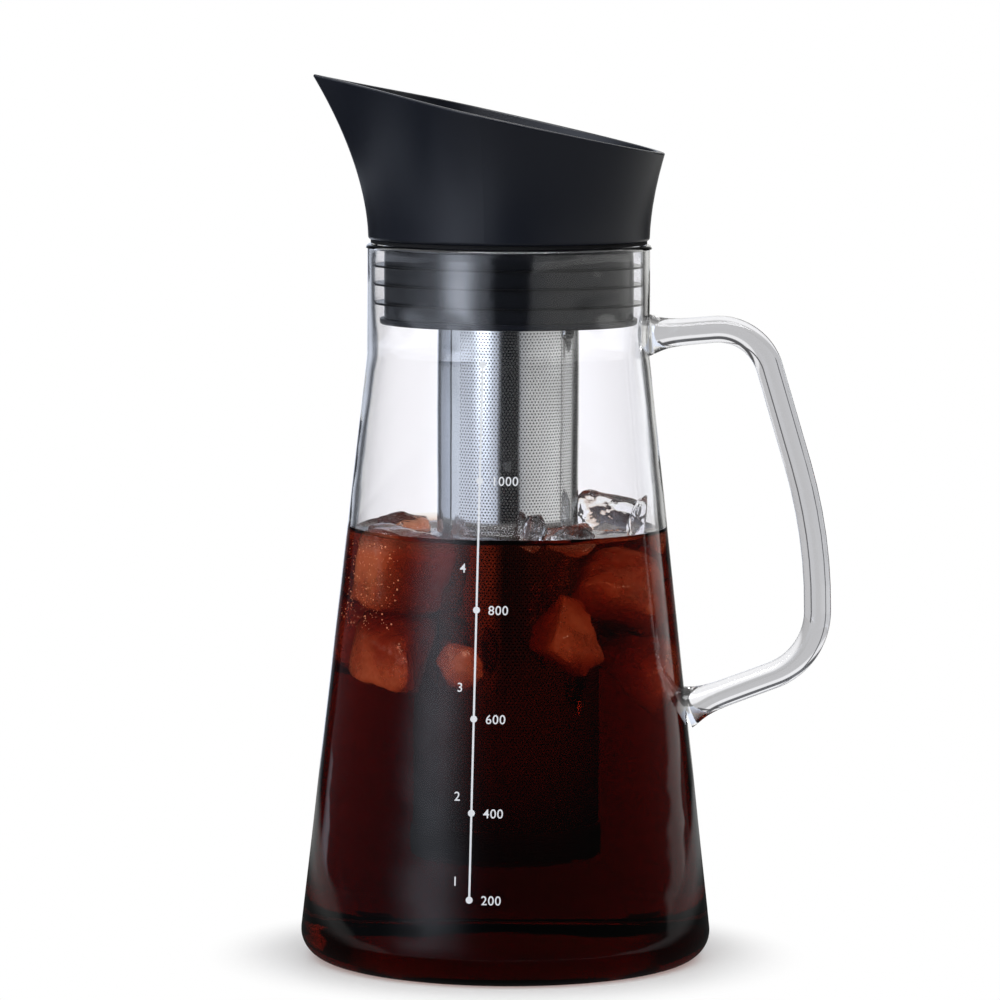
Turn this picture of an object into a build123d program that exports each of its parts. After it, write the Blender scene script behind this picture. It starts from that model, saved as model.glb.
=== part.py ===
from build123d import *
import os
from math import asin, atan, cos, degrees, radians, sin, tan

# Cold brew coffee maker: a glass carafe with a rod handle, a pouring lid that plugs into the neck, and a
# filter that hangs from the lid. Millimetres. The origin is on the carafe's axis in the plane it stands on,
# +Z up, the pouring lip towards -X and the handle towards +X.

# ---------------------------------------------------------------- driving dimensions

# carafe
base_r = 58.5  # radius that the conical wall would have in the plane of the base
neck_r = 39.5
rim_z = 200.7
neck_length = 31.2  # from the cone up to the rim
glass_wall = 2.2
floor_thickness = 3.0
heel_r = 7.6
inner_heel_r = 6.6
shoulder_blend_r = 16.0
foot_ring_width = 5.0
push_up = 1.6  # how far the floor rises inside the standing ring
push_flat_share = 0.6  # where the raised floor starts to fall, as a share of the ring's inside radius
push_foot_share = 0.8  # where it runs out level into the ring
rim_bead_r = 1.35

# handle
rod_r = 3.8
handle_top_drop = 25.4  # below the rim, where the rod leaves the neck
handle_top_rise = 5.0  # degrees, the top run climbs as it leaves the neck
handle_top_run = 30.1  # from the neck out to the upper corner of the rod's centre line
grip_reach = 47.7  # from the neck out to the outermost stretch of the centre line
grip_bend_z = 119.2  # where the sloping and the upright stretch of the grip would meet
handle_low_z = 84.4  # lower corner of the centre line
handle_low_fall = 20.5  # degrees, the bottom run falls towards the body
upper_bend_r = 15.0
grip_bow_r = 143.0
lower_bend_r = 19.3
foot_flare = 2.1  # how much wider than the rod its fused feet are
foot_flare_length = 5.5
foot_waist_flare = 0.35  # how much of the flare is left at the waist of a foot
foot_waist_share = 0.62  # where along the flare the waist is
foot_buried = 2.6  # full width of a foot measured from inside the wall

# pouring spout
spout_inset = 0.2  # its base is this much slimmer than the neck
spout_wall = 1.7
spout_floor = 2.4
spout_back_height = 24.4  # from its base to the rim on the handle's side
spout_tip_height = 46.0
spout_back_flare = 4.1  # how far the rim on the handle's side stands out over the base
lip_overhang = 15.9  # how far the tip of the lip stands out over the base
tip_half_width = 1.3
tip_half_angle = 30.0
lip_blend_angle = 100.0  # where the round back of the funnel passes into the flanks of the lip
flare_power = 1.75  # the wall leaves the base upright and opens ever faster
back_tension_loss = 0.22  # how much sooner than an arc the flank leaves the back, at the rim
nose_tension_loss = 0.02
lip_wall_growth = 0.6  # how much thicker the wall is in the nose of the lip, at the rim
section_shares = (0.0, 0.22, 0.46, 0.72, 1.04)  # where the funnel's sections lie on its height
spout_base_fillet = 0.9
spout_rim_fillet = 0.45

# silicone seals
fin_reach = 2.45  # from the sleeve to the bore of the neck
seal_wall = 2.25
fin_depths = (5.9, 11.0, 16.3)  # below the rim
fin_root = 0.7
fin_tip = 0.5
fin_bite = 0.3  # how far a fin is rooted in the sleeve
seal_flange_margin = 0.9  # its flange is this much slimmer than the neck
seal_flange = 0.9
deck_seal_width = 0.8
deck_seal_drop = 0.4  # how far the deck seal lies under the spout's floor

# neck insert, the core of the plug
core_wall = 1.8
core_depth = 22.2  # how far it reaches into the neck
core_lip = 3.3
core_lip_height = 1.6
core_lip_fillet = 0.6
deck_thickness = 2.0
socket_wall = 1.4
socket_depth = 22.2  # below the deck
port_width = 6.4
port_arc = 14.0
port_pitch = 31.0
port_count = 3
air_slot_width = 3.0
air_slot_arc = 24.0
snap_turns = (60, 180, 300)
snap_width = 9.0
snap_reach = 1.3
snap_height = 1.6
snap_root = 0.4

# pouring flap
hinge_rise = 2.2  # height of the pin over the deck
hinge_setback = 3.2  # from the flap's straight edge to the pin
pin_r = 0.8
pin_chamfer = 0.2
barrel_r = 1.9
barrel_length = 16.0
lug_thickness = 2.7
lug_r = 2.4
lug_front_spread = 0.8
lug_back_spread = 0.2
flap_overlap = 1.45  # how far the flap reaches past the port's windows
flap_thickness = 1.6
flap_corner_r = 3.0
flap_edge_fillet = 0.5
tongue_length = 6.0
tongue_inset = 0.5  # the tongue is narrower than the barrel on each side
pad_thickness = 0.9
pad_margin = 0.5
rib_offset = 5.0
rib_width = 1.2
rib_height = 1.0
rib_end = 9.0  # where the rib's top ends, in from the flap's edge
rib_foot = 4.0  # where the slope at its end meets the flap
rib_root = 0.2

# filter
filter_r = 19.6
filter_sheet = 0.5
filter_floor_gap = 23.4  # from the carafe's floor up to the filter's base
seam_width = 12.0
seam_side = 199.0  # degrees round from +X
seam_lap = 0.25
nub_turns = (146, 326)  # degrees round from +X, of the nubs pressed out of the tube under its collar
nub_width = 4.9
nub_height = 4.8
nub_corner_r = 1.6
nub_rise = 0.6
nub_edge_r = 0.3
nub_depth_share = 0.8  # how deep a nub is rooted in the sheet, as a share of its thickness
nub_drop = 0.3  # from the collar down to a nub
band_thickness = 0.4
collar_wall = 1.3
collar_length = 16.0
collar_flange = 2.0
collar_grip = 1.1  # how far the collar's flange stands out past the socket
collar_lead_in = 0.4
scallop_count = 16
scallop_r = 2.4
scallop_depth = 0.8
gasket_width = 2.4
gasket_depth = 0.6
gasket_chamfer = 0.25
cup_height = 10.0
cup_sheet = 0.5
cup_corner_r = 2.5
dimple_margin = 8.1  # from the cup's side to the edge of its raised middle
dimple_rise = 1.2
dimple_bend_r = 1.0
tube_end_gap = 1.0  # the tube stops this far over the bend of the cup

# clearances
fin_clearance = 0.1  # silicone fins in the glass neck
rest_gap = 0.2  # seal flange over the glass rim, flap pad over the deck
collar_clearance = 0.2  # filter collar in its socket
collar_gap = 0.4  # filter collar under the socket
pin_clearance = 0.06
side_gap = 0.35
slide_gap = 0.1  # collar gasket in its socket

# ---------------------------------------------------------------- derived sizes

shoulder_z = rim_z - neck_length
wall_slope = (base_r - neck_r) / shoulder_z
wall_across = glass_wall * (1 + wall_slope**2) ** 0.5  # the conical wall measured level
neck_bore_r = neck_r - glass_wall
inner_shoulder_z = (base_r - wall_across - neck_bore_r) / wall_slope
inner_floor_r = base_r - wall_across - wall_slope * floor_thickness
bead_centre_r = neck_bore_r + rim_bead_r
bead_z = rim_z - rim_bead_r
bead_foot_z = bead_z - (rim_bead_r**2 - (neck_r - bead_centre_r) ** 2) ** 0.5
bead_inner_mid = rim_bead_r * sin(radians(45))
foot_ring_r = base_r - heel_r * tan(radians(90 - degrees(atan(wall_slope))) / 2)
ring_inner_r = foot_ring_r - foot_ring_width

root_x = neck_r - glass_wall
handle_top_z = rim_z - handle_top_drop
handle_top_x = neck_r + handle_top_run
grip_x = neck_r + grip_reach
low_root_x = base_r - wall_slope * handle_low_z - 2 * glass_wall
top_corner_z = handle_top_z + (handle_top_x - root_x) * tan(radians(handle_top_rise))
low_root_z = handle_low_z - (grip_x - low_root_x) * tan(radians(handle_low_fall))

flange_z = rim_z + rest_gap  # underside of the seal's flange
spout_z = flange_z + seal_flange
deck_z = spout_z + spout_floor
deck_top = deck_z + deck_thickness

fin_r = neck_bore_r - fin_clearance
seal_r = neck_bore_r - fin_reach
seal_flange_r = neck_r - seal_flange_margin
core_r = seal_r - seal_wall
core_bottom_z = rim_z - core_depth
seal_bottom_z = core_bottom_z + core_lip_height

spout_base_r = neck_r - spout_inset
spout_bore_r = core_r + deck_seal_width
spout_back_r = spout_base_r + spout_back_flare
spout_tip_reach = spout_base_r + lip_overhang
spout_back_z = spout_z + spout_back_height
rim_slope = atan((spout_tip_height - spout_back_height) / (spout_tip_reach + spout_back_r))

band_r = filter_r + band_thickness
collar_r = band_r + collar_wall
socket_r = collar_r + collar_clearance
socket_bottom_z = deck_z - socket_depth
collar_flange_r = socket_r + socket_wall + collar_grip
collar_z = socket_bottom_z - collar_gap
collar_bottom = collar_z - collar_flange
collar_top = collar_z + collar_length
gasket_z = collar_top - 2 * gasket_width
filter_bottom_z = floor_thickness + push_up + filter_floor_gap
tube_bottom_z = filter_bottom_z + cup_corner_r + tube_end_gap
seam_bottom_z = filter_bottom_z + cup_height
seam_arc = degrees(seam_width / filter_r)
cup_r = filter_r + cup_sheet
dimple_r = cup_r - dimple_margin
dimple_foot_r = dimple_r + 2 * dimple_rise
dimple_skew = 0.4 * cup_sheet  # keeps the sheet's thickness on the slope of the dimple

port_r = (socket_r + socket_wall + core_r - core_wall) / 2  # middle of the space round the socket
port_end_angle = port_pitch * (port_count - 1) / 2 + port_arc / 2 + degrees(port_width / 2 / port_r)
flap_r = port_r + port_width / 2 + flap_overlap
flap_edge_x = flap_overlap - (port_r - port_width / 2) * cos(radians(port_end_angle))
hinge_x = flap_edge_x + hinge_setback
hinge_z = deck_top + hinge_rise
lug_y = barrel_length / 2 + side_gap
pin_length = 2 * (lug_y + lug_thickness)
pad_z = deck_top + rest_gap
flap_z = pad_z + pad_thickness
rib_z = flap_z + flap_thickness


def outer_wall():
    """Draws the outside of the vessel from the standing ring up to the foot of the rim bead."""
    FilletPolyline(
        (ring_inner_r, 0),
        (base_r, 0),
        (neck_r, shoulder_z),
        (neck_r, bead_foot_z),
        radius=[heel_r, shoulder_blend_r],
    )


# ---------------------------------------------------------------- carafe

with BuildPart() as carafe_body:
    with BuildSketch(Plane.XZ):
        with BuildLine():
            outer_wall()
            # fire-polished rim: full round outside and on top, run out inside into the bore
            ThreePointArc(
                (neck_r, bead_foot_z),
                (bead_centre_r + rim_bead_r, bead_z),
                (bead_centre_r, rim_z),
            )
            ThreePointArc(
                (bead_centre_r, rim_z),
                (bead_centre_r - bead_inner_mid, bead_z + bead_inner_mid),
                (neck_bore_r, bead_z),
            )
            FilletPolyline(
                (neck_bore_r, bead_z),
                (neck_bore_r, inner_shoulder_z),
                (inner_floor_r, floor_thickness),
                (0, floor_thickness + push_up),
                radius=[shoulder_blend_r - glass_wall, inner_heel_r],
            )
            Line((0, floor_thickness + push_up), (0, push_up))
            Bezier(
                (0, push_up),
                (push_flat_share * ring_inner_r, push_up),
                (push_foot_share * ring_inner_r, 0),
                (ring_inner_r, 0),
            )
        make_face()
    revolve(axis=Axis.Z)
carafe_body.part.label = "carafe_body"

# the vessel's outside filled solid, which trims the handle's feet to the wall
with BuildPart() as vessel_envelope:
    with BuildSketch(Plane.XZ):
        with BuildLine():
            outer_wall()
            Polyline((neck_r, bead_foot_z), (0, bead_foot_z), (0, 0), (ring_inner_r, 0))
        make_face()
    revolve(axis=Axis.Z)

# ---------------------------------------------------------------- handle

with BuildPart() as carafe_handle:
    with BuildLine(Plane.XZ) as rod_line:
        FilletPolyline(
            (root_x, handle_top_z),
            (handle_top_x, top_corner_z),
            (grip_x, grip_bend_z),
            (grip_x, handle_low_z),
            (low_root_x, low_root_z),
            radius=[upper_bend_r, grip_bow_r, lower_bend_r],
        )
    rod = rod_line.wire()
    with BuildSketch(Plane(origin=rod @ 0, z_dir=rod % 0)):
        Circle(rod_r)
    sweep(path=rod)
    # fused feet: the rod widens where it was melted on to the wall
    foot_stations = ((0.0, foot_flare), (foot_waist_share, foot_waist_flare), (1.0, 0.0))
    for start, way in ((rod @ 0, rod % 0), (rod @ 1, -(rod % 1))):
        for share, wider in foot_stations:
            reach = foot_buried + foot_flare_length * share
            with BuildSketch(Plane(origin=start + way * reach, z_dir=way)):
                Circle(rod_r + wider)
        loft()
        with BuildSketch(Plane(origin=start, z_dir=way)):
            Circle(rod_r + foot_flare)
        extrude(amount=foot_buried)
    add(vessel_envelope.part, mode=Mode.SUBTRACT)
carafe_handle.part.label = "carafe_handle"

# ---------------------------------------------------------------- pouring spout


def funnel_radius(height):
    """Radius of the funnel's round back at a height over its base."""
    return spout_base_r + (spout_back_r - spout_base_r) * (height / spout_back_height) ** flare_power


def lip_reach(height):
    """How far the funnel reaches towards the pouring lip at a height over its base."""
    return spout_base_r + (spout_tip_reach - spout_base_r) * (height / spout_tip_height) ** flare_power


def funnel_section(height, z, inset=0.0):
    """A section of the funnel at height z: a round back, two flanks and the narrow nose of the lip.

    The flanks are an arc of the same circle at the base and draw in to a pointed lip at the top."""
    share = min(1.0, height / spout_tip_height)
    r = funnel_radius(height) - inset
    half_angle = 90 - (90 - tip_half_angle) * share
    reach = lip_reach(height) - inset * (1 + lip_wall_growth * share)
    round_turn = degrees(asin(tip_half_width / r))
    turn = max(round_turn, 90 - half_angle)
    nose_end = Vector(-reach + tip_half_width * tan(radians(turn / 2)), tip_half_width)
    nose_way = Vector(-sin(radians(turn)), -cos(radians(turn)))
    blend = radians(lip_blend_angle)
    back_end = Vector(r * cos(blend), r * sin(blend))
    back_way = Vector(-sin(blend), cos(blend))
    arc_pull = 4 / 3 * tan(radians(180 - lip_blend_angle - round_turn) / 4) * r
    back_pull = arc_pull * (1 - back_tension_loss * share)
    nose_pull = arc_pull * (1 - nose_tension_loss * share)
    flank = (back_end, back_end + back_way * back_pull, nose_end - nose_way * nose_pull, nose_end)
    with BuildSketch(Plane.XY.offset(z)) as section:
        with BuildLine():
            ThreePointArc((back_end.X, -back_end.Y), (r, 0), (back_end.X, back_end.Y))
            Bezier(*[(p.X, p.Y) for p in flank])
            ThreePointArc((nose_end.X, nose_end.Y), (-reach, 0), (nose_end.X, -nose_end.Y))
            Bezier(*[(p.X, -p.Y) for p in reversed(flank)])
        make_face()
    return section.sketch


section_heights = [spout_tip_height * share for share in section_shares]
rim_plane = Plane(
    origin=(spout_back_r, 0, spout_back_z),
    x_dir=(cos(rim_slope), 0, -sin(rim_slope)),
    z_dir=(sin(rim_slope), 0, cos(rim_slope)),
)

with BuildPart() as pouring_spout:
    loft(sections=[funnel_section(height, spout_z + height) for height in section_heights])
    fillet(pouring_spout.faces().sort_by(Axis.Z)[0].edges(), radius=spout_base_fillet)
    hollow = [funnel_section(height, deck_z + height, spout_wall) for height in section_heights]
    loft(sections=hollow, mode=Mode.SUBTRACT)
    with BuildSketch(Plane.XY.offset(spout_z)):
        Circle(spout_bore_r)
    extrude(amount=spout_floor, mode=Mode.SUBTRACT)
    # the slanted rim
    split(bisect_by=rim_plane, keep=Keep.BOTTOM)
    rim_face = pouring_spout.faces().sort_by(Axis(rim_plane.origin, rim_plane.z_dir))[-1]
    fillet(rim_face.edges(), radius=spout_rim_fillet)
pouring_spout.part.label = "pouring_spout"

# ---------------------------------------------------------------- neck insert

with BuildPart() as neck_insert:
    with BuildSketch(Plane.XZ):
        with BuildLine():
            Polyline(
                (0, deck_top),
                (core_r, deck_top),
                (core_r, seal_bottom_z),
                (core_r + core_lip, seal_bottom_z),
                (core_r + core_lip, core_bottom_z),
                (core_r - core_wall, core_bottom_z),
                (core_r - core_wall, deck_z),
                (socket_r + socket_wall, deck_z),
                (socket_r + socket_wall, socket_bottom_z),
                (socket_r, socket_bottom_z),
                (socket_r, deck_z),
                (0, deck_z),
                close=True,
            )
        make_face()
    revolve(axis=Axis.Z)
    lip_edges = neck_insert.edges().filter_by(GeomType.CIRCLE).group_by(Axis.Z)[0]
    fillet(lip_edges, radius=core_lip_fillet)
    # pour port: curved windows with bars between them that hold the ice back, and an air slot opposite
    with BuildSketch(Plane.XY.offset(deck_z)):
        for i in range(port_count):
            middle = 180 + port_pitch * (i - (port_count - 1) / 2)
            SlotArc(CenterArc((0, 0), port_r, middle - port_arc / 2, port_arc), height=port_width)
        SlotArc(CenterArc((0, 0), port_r, -air_slot_arc / 2, air_slot_arc), height=air_slot_width)
    extrude(amount=deck_thickness, mode=Mode.SUBTRACT)
    # snap wedges that click over the spout's floor
    with BuildSketch(Plane.XZ.offset(-snap_width / 2)) as wedge:
        Polygon(
            (core_r - snap_root, deck_z),
            (spout_bore_r + snap_reach, deck_z),
            (core_r - snap_root, deck_z + snap_height),
            align=None,
        )
    wedge_solid = extrude(wedge.sketch, amount=snap_width, mode=Mode.PRIVATE)
    for turn in snap_turns:
        add(wedge_solid.rotate(Axis.Z, turn))
    # lugs that carry the flap's pin
    for y in (-lug_y, lug_y + lug_thickness):
        with BuildSketch(Plane.XZ.offset(-y)):
            with BuildLine():
                ThreePointArc(
                    (hinge_x - lug_r, hinge_z), (hinge_x, hinge_z + lug_r), (hinge_x + lug_r, hinge_z)
                )
                Polyline(
                    (hinge_x + lug_r, hinge_z),
                    (hinge_x + lug_r + lug_front_spread, deck_top),
                    (hinge_x - lug_r - lug_back_spread, deck_top),
                    (hinge_x - lug_r, hinge_z),
                )
            make_face()
            with Locations((hinge_x, hinge_z)):
                Circle(pin_r, mode=Mode.SUBTRACT)
        extrude(amount=lug_thickness)
neck_insert.part.label = "neck_insert"

# ---------------------------------------------------------------- silicone seals

with BuildPart() as neck_seal:
    with BuildSketch(Plane.XZ):
        with BuildLine():
            Polyline(
                (core_r, seal_bottom_z),
                (seal_r, seal_bottom_z),
                (seal_r, flange_z),
                (seal_flange_r, flange_z),
                (seal_flange_r, spout_z),
                (core_r, spout_z),
                close=True,
            )
        make_face()
        # thin fins that wipe the bore of the neck
        for depth in fin_depths:
            z = rim_z - depth
            with BuildLine():
                Polyline(
                    (seal_r - fin_bite, z - fin_root / 2),
                    (fin_r, z - fin_tip / 2),
                    (fin_r, z + fin_tip / 2),
                    (seal_r - fin_bite, z + fin_root / 2),
                    close=True,
                )
            make_face()
    revolve(axis=Axis.Z)
neck_seal.part.label = "neck_seal"

with BuildPart() as deck_seal:
    with BuildSketch(Plane.XY.offset(spout_z)):
        Circle(spout_bore_r)
        Circle(core_r, mode=Mode.SUBTRACT)
    extrude(amount=spout_floor - deck_seal_drop)
deck_seal.part.label = "deck_seal"

# ---------------------------------------------------------------- pouring flap


def flap_outline(r, edge_x):
    """Draws the part of a disc that lies beyond edge_x on the lip's side."""
    Circle(r)
    with Locations((edge_x, 0)):
        Rectangle(2 * r, 2 * r, align=(Align.MIN, Align.CENTER), mode=Mode.SUBTRACT)


with BuildPart() as pour_flap:
    with BuildSketch(Plane.XY.offset(flap_z)):
        flap_outline(flap_r, flap_edge_x)
    extrude(amount=flap_thickness)
    fillet(pour_flap.edges().filter_by(Axis.Z), radius=flap_corner_r)
    fillet(pour_flap.faces().sort_by(Axis.Z)[-1].edges(), radius=flap_edge_fillet)
    # tongue to the hinge, with two ribs along the plate
    with BuildSketch(Plane.XY.offset(flap_z)):
        with Locations((hinge_x, 0)):
            Rectangle(tongue_length, barrel_length - 2 * tongue_inset, align=(Align.MAX, Align.CENTER))
    extrude(amount=flap_thickness)
    for y in (-rib_offset, rib_offset):
        with BuildSketch(Plane.XZ.offset(-y - rib_width / 2)):
            Polygon(
                (hinge_x, rib_z - rib_root),
                (hinge_x, rib_z + rib_height),
                (-flap_r + rib_end, rib_z + rib_height),
                (-flap_r + rib_foot, rib_z - rib_root),
                align=None,
            )
        extrude(amount=rib_width)
    # barrel on the pin
    with BuildSketch(Plane.XZ.offset(-barrel_length / 2)):
        with Locations((hinge_x, hinge_z)):
            Circle(barrel_r)
    extrude(amount=barrel_length)
    with BuildSketch(Plane.XZ.offset(-barrel_length)):
        with Locations((hinge_x, hinge_z)):
            Circle(pin_r + pin_clearance)
    extrude(amount=2 * barrel_length, mode=Mode.SUBTRACT)
pour_flap.part.label = "pour_flap"

with BuildPart() as flap_pad:
    with BuildSketch(Plane.XY.offset(pad_z)):
        flap_outline(flap_r - pad_margin, flap_edge_x - pad_margin)
    extrude(amount=pad_thickness)
    fillet(flap_pad.edges().filter_by(Axis.Z), radius=flap_corner_r - pad_margin)
flap_pad.part.label = "flap_pad"

with BuildPart() as flap_pin:
    with BuildSketch(Plane.XZ.offset(-pin_length / 2)):
        with Locations((hinge_x, hinge_z)):
            Circle(pin_r)
    extrude(amount=pin_length)
    chamfer(flap_pin.edges().filter_by(GeomType.CIRCLE), length=pin_chamfer)
flap_pin.part.label = "flap_pin"

# ---------------------------------------------------------------- filter

with BuildPart() as filter_collar:
    with BuildSketch(Plane.XZ):
        with BuildLine():
            Polyline(
                (band_r, collar_bottom),
                (collar_flange_r, collar_bottom),
                (collar_flange_r, collar_z),
                (collar_r, collar_z),
                (collar_r, gasket_z),
                (collar_r - gasket_depth, gasket_z),
                (collar_r - gasket_depth, gasket_z + gasket_width),
                (collar_r, gasket_z + gasket_width),
                (collar_r, collar_top),
                (band_r, collar_top),
                close=True,
            )
        make_face()
    revolve(axis=Axis.Z)
    # finger scallops round the flange
    with BuildSketch(Plane.XY.offset(collar_bottom)):
        with PolarLocations(collar_flange_r + scallop_r - scallop_depth, scallop_count):
            Circle(scallop_r)
    extrude(amount=collar_flange, mode=Mode.SUBTRACT)
    top_edges = filter_collar.edges().group_by(Axis.Z)[-1]
    chamfer(top_edges.sort_by(SortBy.RADIUS)[-1], length=collar_lead_in)
filter_collar.part.label = "filter_collar"

with BuildPart() as collar_gasket:
    with BuildSketch(Plane.XY.offset(gasket_z)):
        Circle(socket_r - slide_gap)
        Circle(collar_r - gasket_depth, mode=Mode.SUBTRACT)
    extrude(amount=gasket_width)
    gasket_rims = collar_gasket.edges().filter_by(GeomType.CIRCLE).group_by(SortBy.RADIUS)[-1]
    chamfer(gasket_rims, length=gasket_chamfer)
collar_gasket.part.label = "collar_gasket"

with BuildPart() as filter_band:
    with BuildSketch(Plane.XY.offset(collar_bottom)):
        Circle(band_r)
        Circle(filter_r, mode=Mode.SUBTRACT)
    extrude(amount=collar_flange + collar_length)
filter_band.part.label = "filter_band"

with BuildPart() as filter_mesh:
    with BuildSketch(Plane.XY.offset(tube_bottom_z)):
        Circle(filter_r)
        Circle(filter_r - filter_sheet, mode=Mode.SUBTRACT)
    extrude(amount=collar_top - tube_bottom_z)
    # plain seam strip, lapped and welded on the outside, between the base cup and the band
    with BuildSketch(Plane.XY.offset(seam_bottom_z)):
        with BuildLine():
            outer_arc = CenterArc((0, 0), filter_r + seam_lap, seam_side - seam_arc / 2, seam_arc)
            inner_arc = CenterArc((0, 0), filter_r - filter_sheet / 2, seam_side - seam_arc / 2, seam_arc)
            Line(outer_arc @ 0, inner_arc @ 0)
            Line(outer_arc @ 1, inner_arc @ 1)
        make_face()
    extrude(amount=collar_bottom - seam_bottom_z)
    # nubs pressed out of the tube
    nub_z = collar_bottom - nub_drop - nub_height / 2
    nub_root = nub_depth_share * filter_sheet
    with BuildSketch(Plane(origin=(filter_r - nub_root, 0, nub_z), x_dir=(0, 1, 0), z_dir=(1, 0, 0))) as nub_outline:
        RectangleRounded(nub_width, nub_height, nub_corner_r)
    nub = extrude(nub_outline.sketch, amount=nub_root + nub_rise, mode=Mode.PRIVATE)
    nub = nub.fillet(nub_edge_r, nub.faces().sort_by(Axis.X)[-1].edges())
    for turn in nub_turns:
        add(nub.rotate(Axis.Z, turn))
filter_mesh.part.label = "filter_mesh"

with BuildPart() as filter_base:
    with BuildSketch(Plane.XZ):
        with BuildLine():
            FilletPolyline(
                (0, filter_bottom_z + dimple_rise),
                (dimple_r, filter_bottom_z + dimple_rise),
                (dimple_foot_r, filter_bottom_z),
                (cup_r, filter_bottom_z),
                (cup_r, filter_bottom_z + cup_height),
                radius=[dimple_bend_r, dimple_bend_r, cup_corner_r],
            )
            Line((cup_r, filter_bottom_z + cup_height), (filter_r, filter_bottom_z + cup_height))
            FilletPolyline(
                (filter_r, filter_bottom_z + cup_height),
                (filter_r, filter_bottom_z + cup_sheet),
                (dimple_foot_r + dimple_skew, filter_bottom_z + cup_sheet),
                (dimple_r + dimple_skew, filter_bottom_z + dimple_rise + cup_sheet),
                (0, filter_bottom_z + dimple_rise + cup_sheet),
                radius=[cup_corner_r - cup_sheet, dimple_bend_r, dimple_bend_r],
            )
            Line(
                (0, filter_bottom_z + dimple_rise + cup_sheet),
                (0, filter_bottom_z + dimple_rise),
            )
        make_face()
    revolve(axis=Axis.Z)
filter_base.part.label = "filter_base"

# ---------------------------------------------------------------- export

os.makedirs("parts", exist_ok=True)
pieces = [
    carafe_body,
    carafe_handle,
    pouring_spout,
    neck_insert,
    neck_seal,
    deck_seal,
    pour_flap,
    flap_pad,
    flap_pin,
    filter_collar,
    collar_gasket,
    filter_band,
    filter_mesh,
    filter_base,
]
for piece in pieces:
    export_step(piece.part, f"parts/{piece.part.label}.step")
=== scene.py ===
from math import atan, cos, exp, hypot, pi, radians, sin, sqrt, tan
from random import Random

import bmesh
import bpy
from mathutils import Matrix, Vector, noise


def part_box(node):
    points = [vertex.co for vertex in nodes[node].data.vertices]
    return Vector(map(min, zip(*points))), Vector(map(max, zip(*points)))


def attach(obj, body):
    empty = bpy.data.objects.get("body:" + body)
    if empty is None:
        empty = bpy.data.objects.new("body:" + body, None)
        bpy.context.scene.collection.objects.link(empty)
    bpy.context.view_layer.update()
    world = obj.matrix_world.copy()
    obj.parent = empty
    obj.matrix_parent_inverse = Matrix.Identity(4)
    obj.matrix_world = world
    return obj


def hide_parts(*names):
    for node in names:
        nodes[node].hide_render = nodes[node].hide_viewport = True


# Cold brew coffee maker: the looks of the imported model. The glass, its handle, the coffee, the ice, the bubbles
# and the printed scale are made here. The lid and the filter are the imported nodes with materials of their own.
# Profiles are in millimetres, and MM brings them to metres when a mesh is made.

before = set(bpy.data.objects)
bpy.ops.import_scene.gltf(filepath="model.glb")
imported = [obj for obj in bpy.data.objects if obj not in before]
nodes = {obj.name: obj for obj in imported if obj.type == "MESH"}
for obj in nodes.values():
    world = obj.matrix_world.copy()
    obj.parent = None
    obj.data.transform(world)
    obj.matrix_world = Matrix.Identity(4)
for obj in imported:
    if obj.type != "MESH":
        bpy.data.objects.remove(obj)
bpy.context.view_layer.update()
scene = bpy.context.scene
MM = 0.001
WHITE = (1, 1, 1, 1)

# ---------------------------------------------------------------- driving sizes, as in the part, millimetres

rim_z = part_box("carafe_body")[1].z / MM
base_r = 58.5  # radius that the conical wall would have in the plane of the base
neck_r = 39.5
neck_length = 31.2
glass_wall = 2.2
floor_thickness = 3.0
heel_r = 7.6
inner_heel_r = 6.6
shoulder_blend_r = 16.0
foot_ring_width = 5.0
push_up = 1.6
rim_bead_r = 1.35

rod_r = 3.8
handle_top_z = rim_z - 25.4
handle_top_rise = 5.0  # degrees
handle_top_x = neck_r + 30.1
grip_x = neck_r + 47.7
grip_bend_z = 119.2
handle_low_z = 84.4
handle_low_fall = 20.5  # degrees
grip_radii = (15.0, 143.0, 19.3)
foot_flare = 2.3  # how much wider than the rod its fused feet are
foot_flare_length = 4.5

filter_r = 19.6
seam_side = 199.0  # degrees round from +X, middle of the filter's plain seam strip
seam_width = 12.0
plain_width = 19.2  # what is left without holes round the seam
weld_side = -42.0  # degrees round from +X, the tube's second seam

shoulder_z = rim_z - neck_length
wall_slope = (base_r - neck_r) / shoulder_z
wall_across = glass_wall * sqrt(1 + wall_slope**2)
neck_bore_r = neck_r - glass_wall
inner_shoulder_z = (base_r - wall_across - neck_bore_r) / wall_slope
inner_floor_r = base_r - wall_across - wall_slope * floor_thickness
inner_slope = (inner_floor_r - neck_bore_r) / (inner_shoulder_z - floor_thickness)

# ---------------------------------------------------------------- what only the visual model has

coffee_level = 119.5
meniscus_rise = 2.2
meniscus_reach = 1.8
tube_meniscus_rise = 0.9
wet_depth = 0.12  # how far the coffee reaches into the glass, and the ice into the coffee
contact_z = coffee_level + meniscus_rise
below_ice_z = 30.0  # lower than this the coffee meets nothing but the glass
ice_cuts = 13
ice_roundness = 0.36
around_steps = 224  # facets round the glass and the coffee

glass_ior = 1.47
coffee_ior = 1.33
wetted_ior = 1.105  # what light meets where coffee wets the glass, one index over the other
ice_ior = 1.31

scale_azimuth = -10.2  # degrees from the front towards the lip
scale_marks = {200: 24.5, 400: 48.0, 600: 73.5, 800: 103.0, 1000: 138.0}
scale_top_z = 169.5
cup_marks = {1: 29.5, 2: 52.5, 3: 82.0, 4: 114.3}


# ---------------------------------------------------------------- meshes


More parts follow.
